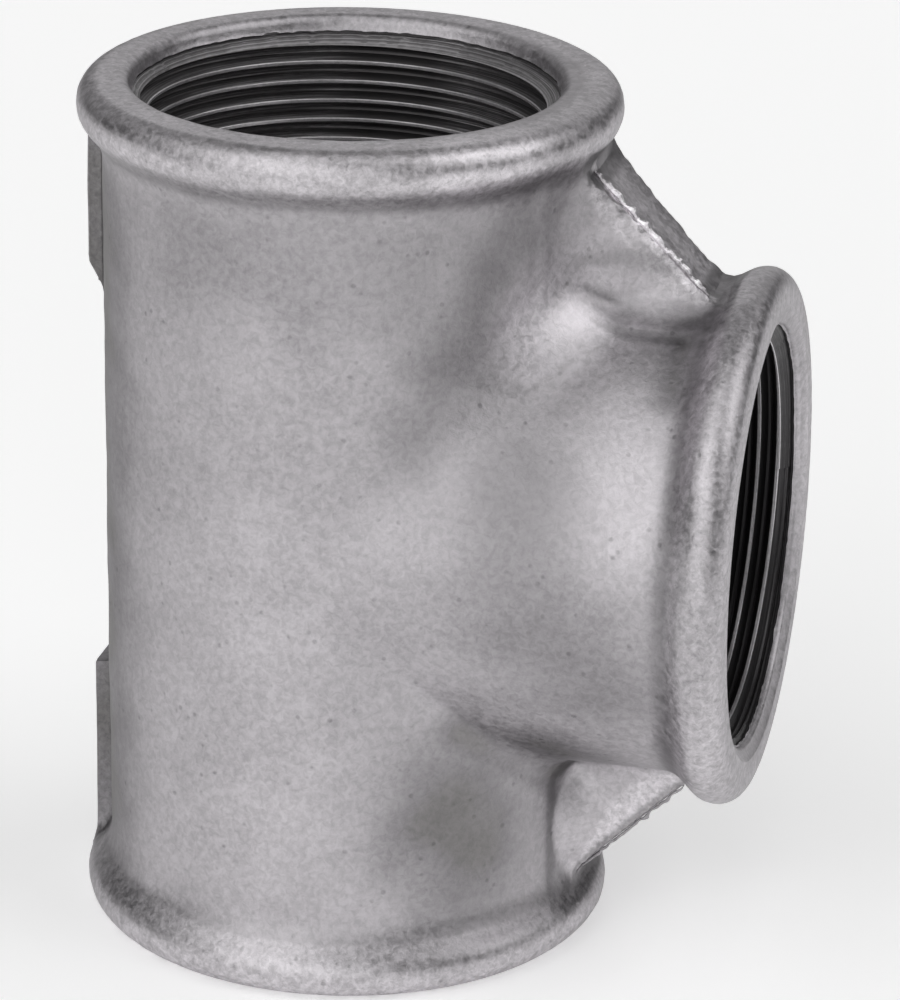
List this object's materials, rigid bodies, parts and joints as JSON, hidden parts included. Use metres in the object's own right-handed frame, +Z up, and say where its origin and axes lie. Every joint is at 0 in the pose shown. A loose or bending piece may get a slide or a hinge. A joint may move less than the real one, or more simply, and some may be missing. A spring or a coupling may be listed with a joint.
{
  "type": "cast iron pipe tee",
  "caption": "Galvanised cast iron equal pipe tee with beaded, internally threaded ends; joins a branch pipe at right angles to a straight run.",
  "frame": {"origin": "centre of the lower end face of the run", "axes": "+Z up along the run, +X out along the branch"},
  "size_m": [0.0798, 0.0612, 0.1],
  "materials": {
    "galvanised_casting": "hot-dip zinc over rough cast iron, finely mottled satin grey"
  },
  "bodies": {
    "root": {"tee_casting": "galvanised_casting"}
  },
  "joints": []
}
